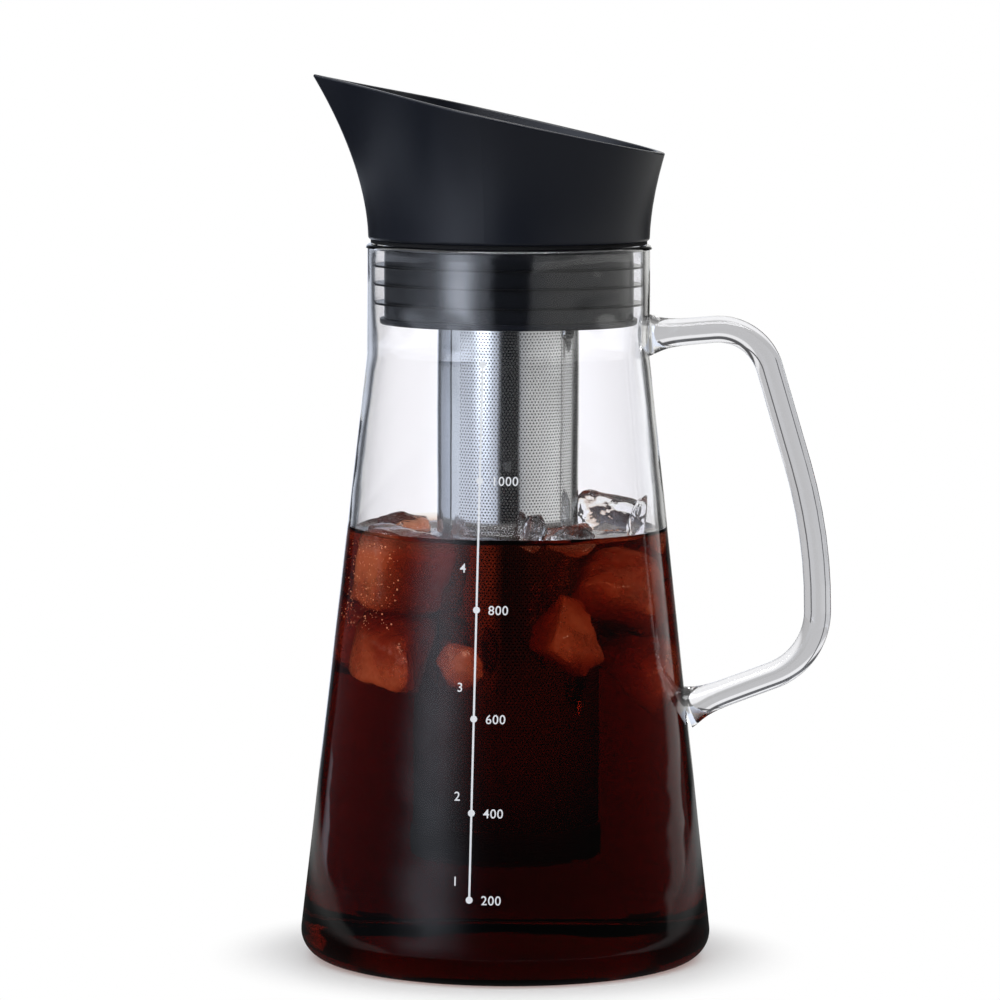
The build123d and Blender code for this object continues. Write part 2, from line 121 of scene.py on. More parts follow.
def rounded(points, radii, step=5.0):
    """An outline whose inner corners are rounded by tangent arcs, with one point each step degrees."""
    path = [Vector(points[0])]
    for before, corner, after, radius in zip(points, points[1:], points[2:], radii):
        corner = Vector(corner)
        way_in = (corner - Vector(before)).normalized()
        way_out = (Vector(after) - corner).normalized()
        turn = way_in.angle_signed(way_out)
        run = radius * tan(abs(turn) / 2)
        count = max(2, round(abs(turn) / radians(step)))
        start = corner - way_in * run
        side = Vector((-way_in.y, way_in.x)) * (1 if turn < 0 else -1)
        centre = start + side * radius
        for i in range(count + 1):
            path.append(centre + Matrix.Rotation(-turn * i / count, 2) @ (start - centre))
    path.append(Vector(points[-1]))
    return path


def spaced(path, longest):
    """The same outline with points added so that no run is longer than longest."""
    result = [path[0]]
    for a, b in zip(path, path[1:]):
        count = max(1, int((b - a).length / longest + 0.999))
        result += [a.lerp(b, i / count) for i in range(1, count + 1)]
    return result


def add_piece(name, bm, materials, body, sharp=40.0):
    """Makes a closed bmesh, in millimetres, into a piece that rides on a body."""
    bmesh.ops.recalc_face_normals(bm, faces=bm.faces)
    mesh = bpy.data.meshes.new(name)
    bm.to_mesh(mesh)
    bm.free()
    mesh.transform(Matrix.Scale(MM, 4))
    mesh.shade_smooth()
    mesh.set_sharp_from_angle(angle=radians(sharp))
    for material in materials:
        mesh.materials.append(material)
    piece = bpy.data.objects.new(name, mesh)
    scene.collection.objects.link(piece)
    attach(piece, body)
    return piece


def lathe(profile, segments, place=None, second=None):
    """A closed solid of revolution from (r, z) points that start and end on the axis. place(r, z, angle, i) may
    move a point, and second(i) says which rows of faces get the second material."""
    bm = bmesh.new()
    rings = []
    for i, (r, z) in enumerate(profile):
        if r < 1e-6:
            rings.append([bm.verts.new((0, 0, z))])
            continue
        ring = []
        for k in range(segments):
            angle = 2 * pi * k / segments
            rr, zz = place(r, z, angle, i) if place else (r, z)
            ring.append(bm.verts.new((rr * cos(angle), rr * sin(angle), zz)))
        rings.append(ring)
    for i, (a, b) in enumerate(zip(rings, rings[1:])):
        for k in range(segments):
            n = (k + 1) % segments
            corners = [a[k % len(a)], a[n % len(a)], b[n % len(b)], b[k % len(b)]]
            face = bm.faces.new(list(dict.fromkeys(corners)))
            if second and second(i):
                face.material_index = 1
    return bm


def outer_radius(z):
    """Outside radius of the carafe at a height above its heel."""
    return neck_r if z > shoulder_z else base_r - wall_slope * z


# ---------------------------------------------------------------- node graphs


class Graph:
    """Adds nodes to one material or world. An input is given as a value or as another node's socket."""

    def __init__(self, tree):
        self.tree = tree
        self.tree.nodes.clear()

    def feed(self, socket, value):
        if isinstance(value, bpy.types.NodeSocket):
            self.tree.links.new(value, socket)
        else:
            socket.default_value = value

    def add(self, kind, inputs=None, **settings):
        node = self.tree.nodes.new("ShaderNode" + kind)
        for key, value in settings.items():
            setattr(node, key, value)
        for key, value in (inputs or {}).items():
            self.feed(node.inputs[key], value)
        return node

    def position(self):
        """Object coordinates, in metres."""
        return self.add("TexCoord").outputs["Object"]

    def off_axis(self):
        """Distance from the carafe's axis, and height, in metres."""
        x, y, z = self.add("SeparateXYZ", {0: self.position()}).outputs
        squares = self.math("ADD", self.math("MULTIPLY", x, x), self.math("MULTIPLY", y, y))
        return self.math("SQRT", squares), z

    def math(self, operation, a, b=0.0, c=0.0):
        return self.add("Math", {0: a, 1: b, 2: c}, operation=operation).outputs[0]

    def between(self, value, low, high):
        """Runs smoothly from 0 to 1 as value goes from low to high."""
        inputs = {"Value": value, "From Min": low, "From Max": high}
        return self.add("MapRange", inputs, interpolation_type="SMOOTHSTEP").outputs[0]

    def mix(self, share, a, b):
        """Colour a where share is 0 and colour b where it is 1. The numbers are the node's colour sockets."""
        return self.add("Mix", {0: share, 6: a, 7: b}, data_type="RGBA").outputs[2]

    def ramp(self, value, stops):
        """A grey ramp through (place, level) stops."""
        node = self.add("ValToRGB", {0: value})
        elements = node.color_ramp.elements
        while len(elements) < len(stops):
            elements.new(0.5)
        for element, (place, level) in zip(elements, stops):
            element.position = place
            element.color = (level, level, level, 1)
        return node.outputs[0]

    def noise(self, scale, detail=3.0, roughness=0.5, vector=None):
        vector = self.position() if vector is None else vector
        inputs = {"Vector": vector, "Scale": scale, "Detail": detail, "Roughness": roughness}
        return self.add("TexNoise", inputs).outputs[0]

    def bump(self, height, distance, strength=1.0):
        inputs = {"Height": height, "Distance": distance, "Strength": strength}
        return self.add("Bump", inputs).outputs[0]

    def finish(self, surface, volume=None):
        output = self.add("OutputMaterial", {"Surface": surface})
        if volume:
            self.tree.links.new(volume, output.inputs["Volume"])


def new_material(name):
    material = bpy.data.materials.new(name)
    material.use_nodes = True
    return material, Graph(material.node_tree)


def clear(g, shader, tint=WHITE):
    """Lets lamps and diffuse light straight through a clear shader, so that they reach what is behind it."""
    path = g.add("LightPath").outputs
    share = g.math("MAXIMUM", path["Is Shadow Ray"], path["Is Diffuse Ray"])
    through = g.add("BsdfTransparent", {"Color": tint}).outputs[0]
    return g.add("MixShader", {0: share, 1: shader, 2: through}).outputs[0]


def glass_material():
    material, g = new_material("fire_polished_glass")
    waves = g.bump(g.noise(55.0, detail=1.0), 0.0002)
    inputs = {"Base Color": WHITE, "Roughness": 0.0, "IOR": glass_ior, "Transmission Weight": 1.0}
    inputs["Normal"] = waves
    g.finish(clear(g, g.add("BsdfPrincipled", inputs).outputs[0]))
    return material


def wetted_material():
    """Where coffee lies against the glass there is next to no reflection, and light bends less."""
    material, g = new_material("wetted_glass")
    inputs = {"Color": WHITE, "Roughness": 0.0, "IOR": wetted_ior}
    g.finish(clear(g, g.add("BsdfRefraction", inputs).outputs[0]))
    return material


def coffee_material():
    """Dark clear coffee. Its outside lies in the glass, where wetted_material does the bending of light."""
    material, g = new_material("cold_brew")
    inputs = {"Base Color": WHITE, "Roughness": 0.0, "IOR": coffee_ior, "Transmission Weight": 1.0}
    surface = g.add("BsdfPrincipled", inputs).outputs[0]
    plain = g.add("BsdfTransparent").outputs[0]
    out, z = g.off_axis()
    wall = g.math("MULTIPLY_ADD", z, -inner_slope, (neck_bore_r + inner_slope * inner_shoulder_z) * MM)
    wetting = g.math("MAXIMUM", g.math("GREATER_THAN", out, wall), g.math("LESS_THAN", z, below_ice_z * MM))
    shader = g.add("MixShader", {0: wetting, 1: surface, 2: plain}).outputs[0]
    soak = g.add("VolumeAbsorption", {"Color": (0.762, 0.475, 0.275, 1), "Density": 188.0})
    g.finish(clear(g, shader, (0.78, 0.48, 0.36, 1)), soak.outputs[0])
    return material


def bubble_material():
    material, g = new_material("air_bubbles")
    # painted highlight: the bubbles are diffuse pale orange spheres, a painted stand-in for the glints of clear
    # air bubbles in coffee-coloured light
    cloud = g.noise(300.0, detail=2.0)
    colour = g.mix(cloud, (0.70, 0.42, 0.28, 1), (0.95, 0.72, 0.55, 1))
    g.finish(clear(g, g.add("BsdfPrincipled", {"Base Color": colour, "Roughness": 0.2}).outputs[0]))
    return material


def ice_material():
    """Clear above the coffee, and below it clouded by air, with an amber colour there that is painted light: the
    colour of the light that reaches it through the coffee.
    """
    material, g = new_material("wet_ice")
    dents = g.bump(g.noise(210.0, detail=2.0), 0.0009)
    cloud = g.between(g.noise(48.0, detail=5.0, roughness=0.6), 0.36, 0.66)
    z = g.add("SeparateXYZ", {0: g.position()}).outputs[2]
    sunk = g.between(z, (coffee_level + 1.5) * MM, (coffee_level - 5.0) * MM)
    milky = g.math("MULTIPLY_ADD", cloud, 0.26, 0.17)
    milky = g.math("MULTIPLY", milky, g.math("MULTIPLY_ADD", sunk, 0.95, 0.05))
    # painted light: amber colour for the light that reaches the sunk ice through the coffee
    coffee_light_tint = g.mix(cloud, (0.62, 0.22, 0.11, 1), (0.84, 0.42, 0.26, 1))
    inputs = {
        "Base Color": g.mix(sunk, (0.96, 0.97, 1.0, 1), coffee_light_tint),
        "Roughness": 0.02,
        "IOR": ice_ior,
        "Transmission Weight": g.math("SUBTRACT", 1.0, milky),
        "Normal": dents,
    }
    g.finish(clear(g, g.add("BsdfPrincipled", inputs).outputs[0]))
    return material


def plastic_material():
    material, g = new_material("moulded_black_plastic")
    grain = g.noise(2600.0, detail=2.0)
    cloud = g.noise(22.0, detail=4.0)
    colour = g.mix(cloud, (0.0030, 0.0040, 0.0078, 1), (0.0048, 0.0062, 0.0108, 1))
    inputs = {
        "Base Color": colour,
        "Roughness": g.math("MULTIPLY_ADD", cloud, 0.06, 0.28),
        "Specular IOR Level": 0.4,
        "Normal": g.bump(grain, 0.00002, 0.6),
    }
    g.finish(g.add("BsdfPrincipled", inputs).outputs[0])
    return material


def silicone_material():
    """Satin silicone, and dull where it is pressed on the glass: the tips of the fins and the flange. There it is
    also painted near-black, a painted shade where the parts meet.
    """
    material, g = new_material("dark_silicone")
    cloud = g.noise(30.0, detail=4.0)
    out, _ = g.off_axis()
    pressed_and_shaded = g.between(out, (neck_bore_r - 0.5) * MM, (neck_bore_r - 0.3) * MM)
    colour = g.mix(cloud, (0.004, 0.005, 0.008, 1), (0.007, 0.008, 0.011, 1))
    rough = g.math("MULTIPLY_ADD", cloud, 0.06, 0.15)
    inputs = {
        # painted shade: near-black colour on the fin tips and the flange, where the parts meet
        "Base Color": g.mix(pressed_and_shaded, colour, (0.001, 0.001, 0.0015, 1)),
        "Roughness": g.math("ADD", rough, g.math("MULTIPLY", pressed_and_shaded, 0.6)),
        "Specular IOR Level": 0.4,
        "Normal": g.bump(cloud, 0.0001, 0.4),
    }
    g.finish(g.add("BsdfPrincipled", inputs).outputs[0])
    return material


def steel_shader(g, holes=None, seam=None):
    """Satin sheet steel, with its holes painted near-black where holes is 1, a painted shade for the dark seen
    through them, and duller where seam is 1.
    """
    grain = g.add("VectorMath", {0: g.position(), 1: (900.0, 900.0, 12.0)}, operation="MULTIPLY").outputs[0]
    streaks = g.noise(1.0, detail=3.0, vector=grain)
    colour = g.mix(streaks, (0.64, 0.65, 0.665, 1), (0.72, 0.73, 0.74, 1))
    if seam is not None:
        colour = g.mix(seam, colour, (0.50, 0.52, 0.56, 1))
    rough = g.math("MULTIPLY_ADD", streaks, 0.08, 0.06)
    metal = 1.0
    if holes is not None:
        # painted shade: the holes are near-black for the dark inside the tube seen through them
        colour = g.mix(holes, colour, (0.012, 0.012, 0.013, 1))
        rough = g.math("MAXIMUM", rough, g.math("MULTIPLY", holes, 0.8))
        metal = g.math("SUBTRACT", 1.0, holes)
    normal = g.bump(streaks, 0.00001, 0.5)
    inputs = {"Base Color": colour, "Roughness": rough, "Metallic": metal, "Normal": normal}
    return g.add("BsdfPrincipled", inputs).outputs[0]


def steel_material():
    material, g = new_material("sheet_steel")
    g.finish(steel_shader(g))
    return material


def perforated_material(hole=0.42, pitch=0.96, row=0.83, plain_end=4.0, blur=0.06, weld_shift=0.37):
    """Etched sheet for the filter tube: staggered round holes, none round its seam strip or near its ends. blur
    softens their edges, and past the weld they are weld_shift of a pitch further round."""
    material, g = new_material("perforated_steel")
    x, y, z = g.add("SeparateXYZ", {0: g.position()}).outputs
    angle = g.math("ARCTAN2", y, x)
    count = round(2 * pi * filter_r / pitch)
    past_weld = g.math("GREATER_THAN", angle, radians(weld_side))
    across = g.math("MULTIPLY_ADD", angle, count / (2 * pi), g.math("MULTIPLY", past_weld, weld_shift))
    up = g.math("MULTIPLY", z, 1 / (2 * row * MM))

    def from_hole(shift):
        """Distance in millimetres from the nearest hole of one of the two interleaved grids."""
        u = g.math("SUBTRACT", g.math("FRACT", g.math("ADD", across, shift + count)), 0.5)
        v = g.math("SUBTRACT", g.math("FRACT", g.math("ADD", up, shift)), 0.5)
        u = g.math("MULTIPLY", u, pitch)
        v = g.math("MULTIPLY", v, 2 * row)
        return g.math("SQRT", g.math("ADD", g.math("MULTIPLY", u, u), g.math("MULTIPLY", v, v)))

    nearest = g.math("MINIMUM", from_hole(0.0), from_hole(0.5))
    holes = g.between(nearest, hole / 2 + blur, hole / 2 - blur)
    # no holes round the seam strip, nor at the plain ends
    off_seam = g.math("ABSOLUTE", g.math("SUBTRACT", angle, radians(seam_side - 360)))
    holes = g.math("MULTIPLY", holes, g.math("GREATER_THAN", off_seam, plain_width / 2 / filter_r))
    strip = g.math("LESS_THAN", off_seam, seam_width / 2 / filter_r)
    off_weld = g.math("ABSOLUTE", g.math("SUBTRACT", angle, radians(weld_side)))
    weld = g.between(g.math("MULTIPLY", off_weld, filter_r), 0.22, 0.08)
    low, high = (corner.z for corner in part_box("filter_mesh"))
    holes = g.math("MULTIPLY", holes, g.math("GREATER_THAN", z, low + plain_end * MM))
    holes = g.math("MULTIPLY", holes, g.math("LESS_THAN", z, high - plain_end * MM))
    # the weld line takes 0.6 of the holes' painted shade, as a dark joint
    g.finish(steel_shader(g, g.math("MAXIMUM", holes, g.math("MULTIPLY", weld, 0.6)), strip))
    return material


def print_material():
    material, g = new_material("fired_white_print")
    speckle = g.noise(3000.0, detail=2.0)
    inputs = {
        "Base Color": g.mix(speckle, (0.54, 0.56, 0.60, 1), (0.66, 0.68, 0.72, 1)),
        "Roughness": 0.45,
        "Normal": g.bump(speckle, 0.00001, 0.5),
    }
    g.finish(g.add("BsdfPrincipled", inputs).outputs[0])
    return material


# ---------------------------------------------------------------- glass


def carafe_glass(glass, wetted, wave=0.07, calm_foot=12.0, calm_rim=4.0):
    """The blown vessel, with the faces that the coffee wets in a material of their own. Apart from the foot and
    the rim, both sides of its wall have the slight waves of blown glass."""
    ring_outer = base_r - heel_r * tan(radians(90) / 2 - atan(wall_slope) / 2)
    ring_inner = ring_outer - foot_ring_width
    bead_r, bead_z = neck_bore_r + rim_bead_r, rim_z - rim_bead_r
    profile = [Vector((0, push_up))]
    # the pushed-up floor, a Bezier curve from the middle to the ring that the pot stands on
    for i in range(1, 25):
        t = i / 24
        r = ring_inner * (3 * t * (1 - t) ** 2 * 0.6 + 3 * t * t * (1 - t) * 0.8 + t**3)
        z = push_up * ((1 - t) ** 3 + 3 * t * (1 - t) ** 2)
        profile.append(Vector((r, z)))
    outline = [(ring_inner, 0), (base_r, 0), (neck_r, shoulder_z), (neck_r, bead_z)]
    profile += rounded(outline, [heel_r, shoulder_blend_r])[1:]
    for i in range(1, 20):
        angle = pi * i / 20
        profile.append(Vector((bead_r + rim_bead_r * cos(angle), bead_z + rim_bead_r * sin(angle))))
    profile += rounded(
        [
            (neck_bore_r, bead_z),
            (neck_bore_r, inner_shoulder_z),
            (inner_floor_r, floor_thickness),
            (0, floor_thickness + push_up),
        ],
        [shoulder_blend_r - glass_wall, inner_heel_r],
    )
    profile = spaced(profile, 3.0)
    # a ring of points where the coffee's edge touches the wall
    split = next(i for i in range(len(profile) // 2 + 1, len(profile) - 1) if profile[i + 1].y < contact_z)
    a, b = profile[split], profile[split + 1]
    profile.insert(split + 1, a.lerp(b, (a.y - contact_z) / (a.y - b.y)))
    inner_first = next(i for i, p in enumerate(profile) if p.y > rim_z - rim_bead_r / 2 and p.x < bead_r)

    def place(r, z, angle, i):
        if z < calm_foot or z > rim_z - calm_rim:
            return r, z
        side = 7.0 if i > inner_first else 0.0
        spot = Vector((cos(angle) * 2.2 + side, sin(angle) * 2.2, z / 22))
        return r + wave * noise.noise(spot), z

    bm = lathe(profile, around_steps, place, lambda i: i > split)
    piece = add_piece("carafe_glass", bm, [glass, wetted], "carafe")
    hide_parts("carafe_body")


def handle_glass(glass, sides=40):
    """The bent rod, with feet that widen into the wall and end inside it."""
    wall_depth = glass_wall / 2
    low_root_x = outer_radius(handle_low_z) - 2 * glass_wall
    low_root_z = handle_low_z - (grip_x - low_root_x) * tan(radians(handle_low_fall))
    corner_z = handle_top_z + (handle_top_x - neck_bore_r) * tan(radians(handle_top_rise))
    line = rounded(
        [
            (neck_bore_r, handle_top_z),
            (handle_top_x, corner_z),
            (grip_x, grip_bend_z),
            (grip_x, handle_low_z),
            (low_root_x, low_root_z),
        ],
        grip_radii,
        step=3.0,
    )
    line = spaced(line, 1.2)
    ways = [(b - a).normalized() for a, b in zip(line, line[1:])]
    ways = [ways[0]] + [(a + b).normalized() for a, b in zip(ways, ways[1:])] + [ways[-1]]
    runs = [0.0]
    for a, b in zip(line, line[1:]):
        runs.append(runs[-1] + (b - a).length)
    kept = [
        (point, way, run)
        for point, way, run in zip(line, ways, runs)
        if point.x - outer_radius(point.y) > -wall_depth
    ]
    first, last = kept[0][2], kept[-1][2]
    bm = bmesh.new()
    rings = []
    for point, way, run in kept:
        edge = min(run - first, last - run)
        r = rod_r + foot_flare * exp(-((edge / foot_flare_length) ** 1.5))
        across = Vector((-way.y, way.x))
        ring = []
        for k in range(sides):
            angle = 2 * pi * k / sides
            flat = point + across * (r * cos(angle))
            ring.append(bm.verts.new((flat.x, r * sin(angle), flat.y)))
        rings.append(ring)
    for a, b in zip(rings, rings[1:]):
        for k in range(sides):
            n = (k + 1) % sides
            bm.faces.new((a[k], a[n], b[n], b[k]))
    for ring in (rings[0], rings[-1]):
        bm.faces.new(ring)
    piece = add_piece("handle_glass", bm, [glass], "carafe")
    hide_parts("carafe_handle")


# ---------------------------------------------------------------- coffee and ice


def eased(value, limit, reach=3.0):
    """The value, held back smoothly so that it never passes the limit."""
    over = value - (limit - reach)
    return value if over <= 0 else limit - reach * exp(-over / reach)


def ice_lump(size, centre, turns, seed, facets=5, gap=2.2, inset=0.0):
    """One melted ice cube as a bmesh: a rounded box with melted facets and dents, kept gap from the wall and
    clear of the filter. inset makes the smaller cavity that it leaves in the coffee."""
    random = Random(seed)
    planes = []
    for _ in range(facets):
        normal = Vector([random.gauss(0, 1) for _ in range(3)]).normalized()
        planes.append((normal, random.uniform(0.66, 1.0)))
    bm = bmesh.new()
    bmesh.ops.create_cube(bm, size=2.0)
    bmesh.ops.subdivide_edges(bm, edges=bm.edges, cuts=ice_cuts, use_grid_fill=True)
    about_x, about_y, about_z = (Matrix.Rotation(turn, 3, axis) for turn, axis in zip(turns, "XYZ"))
    spin = about_z @ about_y @ about_x
    offset = Vector((seed * 3.7, seed * 1.3, -seed * 2.1))
    for v in bm.verts:
        core = Vector([max(-1 + ice_roundness, min(1 - ice_roundness, c)) for c in v.co])
        p = core + (v.co - core).normalized() * ice_roundness
        p *= min([1.0] + [depth / p.dot(normal) for normal, depth in planes if p.dot(normal) > depth])
        q = p + offset
        p *= 1 + 0.13 * noise.noise(q * 0.9) + 0.06 * noise.noise(q * 2.6) + 0.025 * noise.noise(q * 6.0)
        p = spin @ Vector([c * s / 2 for c, s in zip(p, size)]) + Vector(centre)
        radius = hypot(p.x, p.y)
        wall = outer_radius(p.z) - wall_across - gap
        kept = -eased(-eased(radius, wall), -filter_r - 0.5)
        v.co = (p.x * kept / radius, p.y * kept / radius, p.z)
    bm.normal_update()
    for v in bm.verts:
        v.co -= v.normal * inset
    return bm


def on_ring(azimuth, radius, z):
    """A place round the carafe's axis, azimuth in degrees from the front towards the handle."""
    return (radius * sin(radians(azimuth)), -radius * cos(radians(azimuth)), z)


def ice_places():
    """Size, centre, turns, facets and gap to the wall of each piece of ice, the floating ones first."""
    top = coffee_level
    return [
        ((26, 23, 22), on_ring(-63, 31.5, top - 8.7), (0.12, 0.1, 0.4), 5, 0.7),
        ((21, 9, 17), on_ring(115, 31.0, top + 1.5), (0.3, 0.25, 0.15), 9, 0.5),
        ((12, 6, 16), on_ring(85, 36.5, top + 3.0), (0.2, 0.3, 1.5), 9, 0.5),
        ((11, 7, 12), on_ring(32, 31.0, top + 1.0), (0.5, 0.6, 0.5), 10, 1.6),
        ((6, 5, 10), on_ring(14, 27.5, top + 2.6), (0.3, 0.5, 0.9), 9, 1.0),
        ((25, 21, 19), on_ring(65, 31.5, top - 16.2), (0.5, 0.2, 0.1), 6, 2.8),
        ((20, 18, 17), on_ring(-112, 31.0, top - 5.0), (0.7, 0.2, 0.2), 6, 1.5),
        ((21, 18, 17), on_ring(165, 31.0, top - 5.0), (0.1, 0.5, 0.6), 6, 1.5),
        ((30, 24, 20), on_ring(-56, 33.5, 88.2), (0.2, 0.1, 0.9), 4, 2.7),
        ((12, 9, 10), on_ring(-18, 40.5, 86.5), (0.9, 0.3, 0.2), 5, 2.3),
        ((22, 21, 19), on_ring(80, 34.0, 82.5), (0.2, 0.9, 0.5), 4, 3.6),
        ((18, 17, 17), on_ring(27, 33.0, 93.0), (0.8, 0.4, 0.7), 5, 4.2),
        ((21, 19, 20), on_ring(121, 33.0, 93.0), (0.3, 0.6, 0.2), 5, 2.5),
        ((20, 19, 20), on_ring(165, 33.0, 89.0), (0.5, 0.1, 0.8), 5, 2.5),
        ((21, 19, 20), on_ring(-116, 33.0, 88.0), (0.1, 0.4, 0.5), 5, 2.5),
        ((20, 19, 18), on_ring(-153, 32.0, 97.0), (0.6, 0.3, 0.9), 5, 2.5),
    ]


def bubbles(glaze, count=240, low=95.0, high=118.5, middle=-61.0, spread=21.25):
    """Fine air bubbles that the ice gives off, caught on the wall in front of the largest floating piece."""
    random = Random(3)
    bm = bmesh.new()
    for _ in range(count):
        azimuth = middle + spread * (random.random() + random.random() - 1)
        z = low + (high - low) * random.random()
        size = 0.10 + 0.20 * random.random() ** 4
        place = on_ring(azimuth, outer_radius(z) - wall_across - 0.3 - size - random.random(), z)
        bmesh.ops.create_icosphere(bm, subdivisions=2, radius=size, matrix=Matrix.Translation(place))
    add_piece("bubbles", bm, [glaze], "carafe", sharp=180)


def coffee_and_ice(coffee, ice):
    """Fills the carafe: one body of coffee, with a cavity for each piece of ice that floats in it."""
    wet_r = neck_bore_r + wet_depth
    inside = rounded(
        [
            (wet_r, inner_shoulder_z),
            (inner_floor_r + wet_depth, floor_thickness - wet_depth),
            (0, floor_thickness + push_up - wet_depth),
        ],
        [inner_heel_r],
    )
    inside.reverse()
    edge_r = wet_r + inner_slope * (inner_shoulder_z - contact_z)
    profile = spaced(inside[:-1] + [Vector((edge_r, contact_z))], 4.0)
    side_count = len(profile)
    r = edge_r
    while r > 0.5:
        near = min(edge_r - r, abs(r - filter_r))
        r -= 0.25 + min(1.1, near * 0.2)
        profile.append(Vector((max(r, 0.0), coffee_level)))
    if profile[-1].x > 0:
        profile.append(Vector((0, coffee_level)))

    def place(r, z, angle, i):
        """Ripples on the surface, and its rise at the wall and round the filter."""
        if i < side_count:
            return r, z
        wall = exp(-(edge_r - wet_depth - r) / meniscus_reach)
        tube = exp(-abs(r - filter_r) / meniscus_reach)
        spot = Vector((r * cos(angle), r * sin(angle), 0)) / 9
        calm = min(1.0, (edge_r - r) / 5)
        ripple = 0.35 * noise.noise(spot) + 0.12 * noise.noise(spot * 2.7)
        rise = meniscus_rise * min(wall, 1.0) + tube_meniscus_rise * tube + ripple * calm
        return r, coffee_level + rise

    body = add_piece("coffee", lathe(profile, around_steps, place), [coffee], "carafe")
    for i, (size, centre, turns, facets, gap) in enumerate(ice_places()):
        cube = ice_lump(size, centre, turns, i + 1, facets, gap)
        add_piece(f"ice_{i + 1:02}", cube, [ice], "carafe", sharp=50)
        carve(body, ice_lump(size, centre, turns, i + 1, facets, gap, inset=wet_depth))
    body.data.shade_smooth()
    body.data.set_sharp_from_angle(angle=radians(40))


def carve(piece, bm):
    """Cuts a bmesh, in millimetres, out of a piece."""
    bmesh.ops.recalc_face_normals(bm, faces=bm.faces)
    mesh = bpy.data.meshes.new("cavity")
    bm.to_mesh(mesh)
    bm.free()
    mesh.transform(Matrix.Scale(MM, 4))
    cutter = bpy.data.objects.new("cavity", mesh)
    scene.collection.objects.link(cutter)
    cut = piece.modifiers.new("cavity", "BOOLEAN")
    cut.operation, cut.object, cut.solver = "DIFFERENCE", cutter, "EXACT"
    bpy.context.view_layer.update()
    carved = bpy.data.meshes.new_from_object(piece.evaluated_get(bpy.context.evaluated_depsgraph_get()))
    piece.modifiers.clear()
    old = piece.data
    piece.data = carved
    bpy.data.objects.remove(cutter)
    bpy.data.meshes.remove(old)
    bpy.data.meshes.remove(mesh)


# ---------------------------------------------------------------- printed scale


def on_glass(u, v, w):
    """A point of the print: u round the glass, v up and w out of it, from the scale's line, millimetres."""
    radius = outer_radius(v)
    angle = radians(scale_azimuth) + u / radius
    return Vector(((radius + w) * sin(angle), -(radius + w) * cos(angle), v))


def printed(name, bm, ink):
    """Lays a flat bmesh of (u, v, w) points on the glass."""
    for v in bm.verts:
        v.co = on_glass(*v.co)
    add_piece(name, bm, [ink], "carafe", sharp=30)


def slab(bm, outline, low=0.02, high=0.09):
    """A thin closed slab over a flat outline of (u, v) points."""
    rings = [[bm.verts.new((u, v, w)) for u, v in outline] for w in (low, high)]
    bm.faces.new(rings[0])
    bm.faces.new(rings[1])
    for k in range(len(outline)):
        n = (k + 1) % len(outline)
        bm.faces.new((rings[0][k], rings[0][n], rings[1][n], rings[1][k]))


def number(name, value, u, v, size, ink, align="LEFT", low=0.02, high=0.11):
    """Plain figures on the glass, their foot at height v and their near end at u."""
    curve = bpy.data.curves.new(name, "FONT")
    curve.body = str(value)
    curve.size = 1.0
    curve.align_x = align
    curve.offset = 0.005
    curve.extrude = 0.05
    curve.space_character = 1.08
    text = bpy.data.objects.new(name, curve)
    scene.collection.objects.link(text)
    bpy.context.view_layer.update()
    mesh = bpy.data.meshes.new_from_object(text.evaluated_get(bpy.context.evaluated_depsgraph_get()))
    bpy.data.objects.remove(text)
    bm = bmesh.new()
    bm.from_mesh(mesh)
    bmesh.ops.remove_doubles(bm, verts=bm.verts, dist=1e-5)
    for vert in bm.verts:
        x, y, w = vert.co
        vert.co = (u + x * size, v + y * size, high if w > 0 else low)
    printed(name, bm, ink)


def printed_scale(ink, line_width=0.55, line_steps=40, dot_r=0.95, dot_sides=24, figure=3.5, gap=3.2):
    """The white volume scale: a line with a dot at each mark and plain numbers beside it."""
    bm = bmesh.new()
    low, high = min(scale_marks.values()), scale_top_z
    left = [(-line_width / 2, low + (high - low) * i / line_steps) for i in range(line_steps + 1)]
    right = [(line_width / 2, v) for _, v in reversed(left)]
    slab(bm, left + right)
    printed("scale_line", bm, ink)
    angles = [2 * pi * k / dot_sides for k in range(dot_sides)]
    for i, v in enumerate([*scale_marks.values(), scale_top_z]):
        bm = bmesh.new()
        slab(bm, [(dot_r * cos(a), v + dot_r * sin(a)) for a in angles], low=0.03, high=0.12)
        printed(f"scale_dot_{i + 1}", bm, ink)
    half_height = figure * 0.35
    for value, v in scale_marks.items():
        number(f"scale_{value}", value, gap, v - half_height, figure, ink)
    for value, v in cup_marks.items():
        number(f"cups_{value}", value, -gap, v - half_height, figure, ink, "RIGHT")


# ---------------------------------------------------------------- lid and filter


def dress_nodes():
    """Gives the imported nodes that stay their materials."""
    plastic, silicone, steel = plastic_material(), silicone_material(), steel_material()
    finishes = {
        "pouring_spout": plastic, "neck_insert": plastic, "pour_flap": plastic, "filter_collar": plastic,
        "neck_seal": silicone, "deck_seal": silicone, "flap_pad": silicone, "collar_gasket": silicone,
        "flap_pin": steel, "filter_band": steel, "filter_base": steel, "filter_mesh": perforated_material(),
    }
    for name, material in finishes.items():
        for slot in nodes[name].material_slots:
            slot.material = material


# ---------------------------------------------------------------- floor, light and camera

one_wall = 2.5  # a ray that has gone into and out of one rod or wall has a transmission depth of 2
bright_tent, dark_flag = (1.05, 1.04, 1.09, 1), (0.10, 0.10, 0.105, 1)
flag_step, flag_middle = 45.0, 23.5  # degrees, between the flags and from the front to the first of them


def seen_directly(g):
    """The light path's outputs, and 1 for rays that have only gone through clear things, not off any."""
    path = g.add("LightPath").outputs
    straight = g.math("LESS_THAN", g.math("ADD", path["Glossy Depth"], path["Diffuse Depth"]), 0.5)
    return path, g.math("MULTIPLY", path["Is Transmission Ray"], straight)


